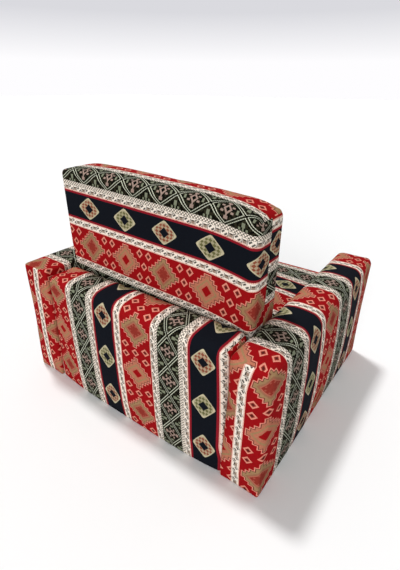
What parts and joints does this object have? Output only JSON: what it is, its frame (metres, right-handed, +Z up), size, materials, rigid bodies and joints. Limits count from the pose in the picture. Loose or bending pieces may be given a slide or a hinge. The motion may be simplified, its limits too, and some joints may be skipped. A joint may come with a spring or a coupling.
{
  "type": "fold-out foam sofa",
  "caption": "Low foam sofa for one sitter in striped kilim covers: block arms, rear panel, loose back cushion and a folded mattress that unrolls into a bed.",
  "frame": {"origin": "centre of the bounding box at floor level", "axes": "+Z up, -Y out of the front (the sitter faces -Y), +X towards the sitter's left arm"},
  "size_m": [0.9486, 0.8086, 0.7265],
  "materials": {
    "kilim_weave": "matte",
    "polyurethane_foam": "matte",
    "hinge_webbing": "matte",
    "joining_webbing": "matte",
    "nylon_zip": "satin",
    "zip_slider_metal": "satin"
  },
  "bodies": {
    "base": {"left_arm_cover": "kilim_weave", "left_arm_foam": "polyurethane_foam", "left_arm_zip": "nylon_zip", "right_arm_cover": "kilim_weave", "right_arm_foam": "polyurethane_foam", "right_arm_zip": "nylon_zip", "rear_panel_cover": "kilim_weave", "rear_panel_foam": "polyurethane_foam", "rear_panel_zip": "nylon_zip", "base_slab_cover": "kilim_weave", "base_slab_foam": "polyurethane_foam", "base_slab_zip": "nylon_zip", "corner_joining_strips": "joining_webbing", "seat_joining_strips": "joining_webbing", "front_hinge_tape_lower": "hinge_webbing"},
    "middle_slab": {"middle_slab_cover": "kilim_weave", "middle_slab_foam": "polyurethane_foam", "middle_slab_zip": "nylon_zip", "front_hinge_tape_upper": "hinge_webbing", "rear_hinge_tape_lower": "hinge_webbing"},
    "top_slab": {"top_slab_cover": "kilim_weave", "top_slab_foam": "polyurethane_foam", "top_slab_zip": "nylon_zip", "rear_hinge_tape_upper": "hinge_webbing"},
    "back_cushion": {"back_cushion_cover": "kilim_weave", "back_cushion_foam": "polyurethane_foam", "back_cushion_zip": "nylon_zip"},
    "left_arm_zip_slider": {"left_arm_zip_slider": "zip_slider_metal"},
    "right_arm_zip_slider": {"right_arm_zip_slider": "zip_slider_metal"},
    "rear_panel_zip_slider": {"rear_panel_zip_slider": "zip_slider_metal"},
    "base_slab_zip_slider": {"base_slab_zip_slider": "zip_slider_metal"},
    "middle_slab_zip_slider": {"middle_slab_zip_slider": "zip_slider_metal"},
    "top_slab_zip_slider": {"top_slab_zip_slider": "zip_slider_metal"},
    "back_cushion_zip_slider": {"back_cushion_zip_slider": "zip_slider_metal"}
  },
  "joints": [
    {"name": "seat_unfold", "type": "hinge", "parent": "base", "child": "middle_slab", "pos_m": [0, -0.4, 0.10015], "axis": [1, 0, 0], "range_deg": [0, 180]},
    {"name": "top_slab_unfold", "type": "hinge", "parent": "middle_slab", "child": "top_slab", "pos_m": [0, 0.141, 0.20045], "axis": [1, 0, 0], "range_deg": [-180, 0]},
    {"name": "back_cushion_lift", "type": "slide", "parent": "base", "child": "back_cushion", "axis": [0, 0, 1], "range_m": [0, 0.35]},
    {"name": "left_arm_zip_slide", "type": "slide", "parent": "base", "child": "left_arm_zip_slider", "axis": [0, 1, 0], "range_m": [0, 0.6244]},
    {"name": "right_arm_zip_slide", "type": "slide", "parent": "base", "child": "right_arm_zip_slider", "axis": [0, 1, 0], "range_m": [0, 0.6244]},
    {"name": "rear_panel_zip_slide", "type": "slide", "parent": "base", "child": "rear_panel_zip_slider", "axis": [1, 0, 0], "range_m": [0, 0.5212]},
    {"name": "base_slab_zip_slide", "type": "slide", "parent": "base", "child": "base_slab_zip_slider", "axis": [1, 0, 0], "range_m": [0, 0.5212]},
    {"name": "middle_slab_zip_slide", "type": "slide", "parent": "middle_slab", "child": "middle_slab_zip_slider", "axis": [0, 1, 0], "range_m": [0, 0.3614]},
    {"name": "top_slab_zip_slide", "type": "slide", "parent": "top_slab", "child": "top_slab_zip_slider", "axis": [0, 1, 0], "range_m": [0, 0.3614]},
    {"name": "back_cushion_zip_slide", "type": "slide", "parent": "back_cushion", "child": "back_cushion_zip_slider", "axis": [1, 0, 0], "range_m": [0, 0.5214]}
  ],
  "couplings": [
    {"joint": "top_slab_unfold", "follows": "seat_unfold", "ratio": -1}
  ]
}
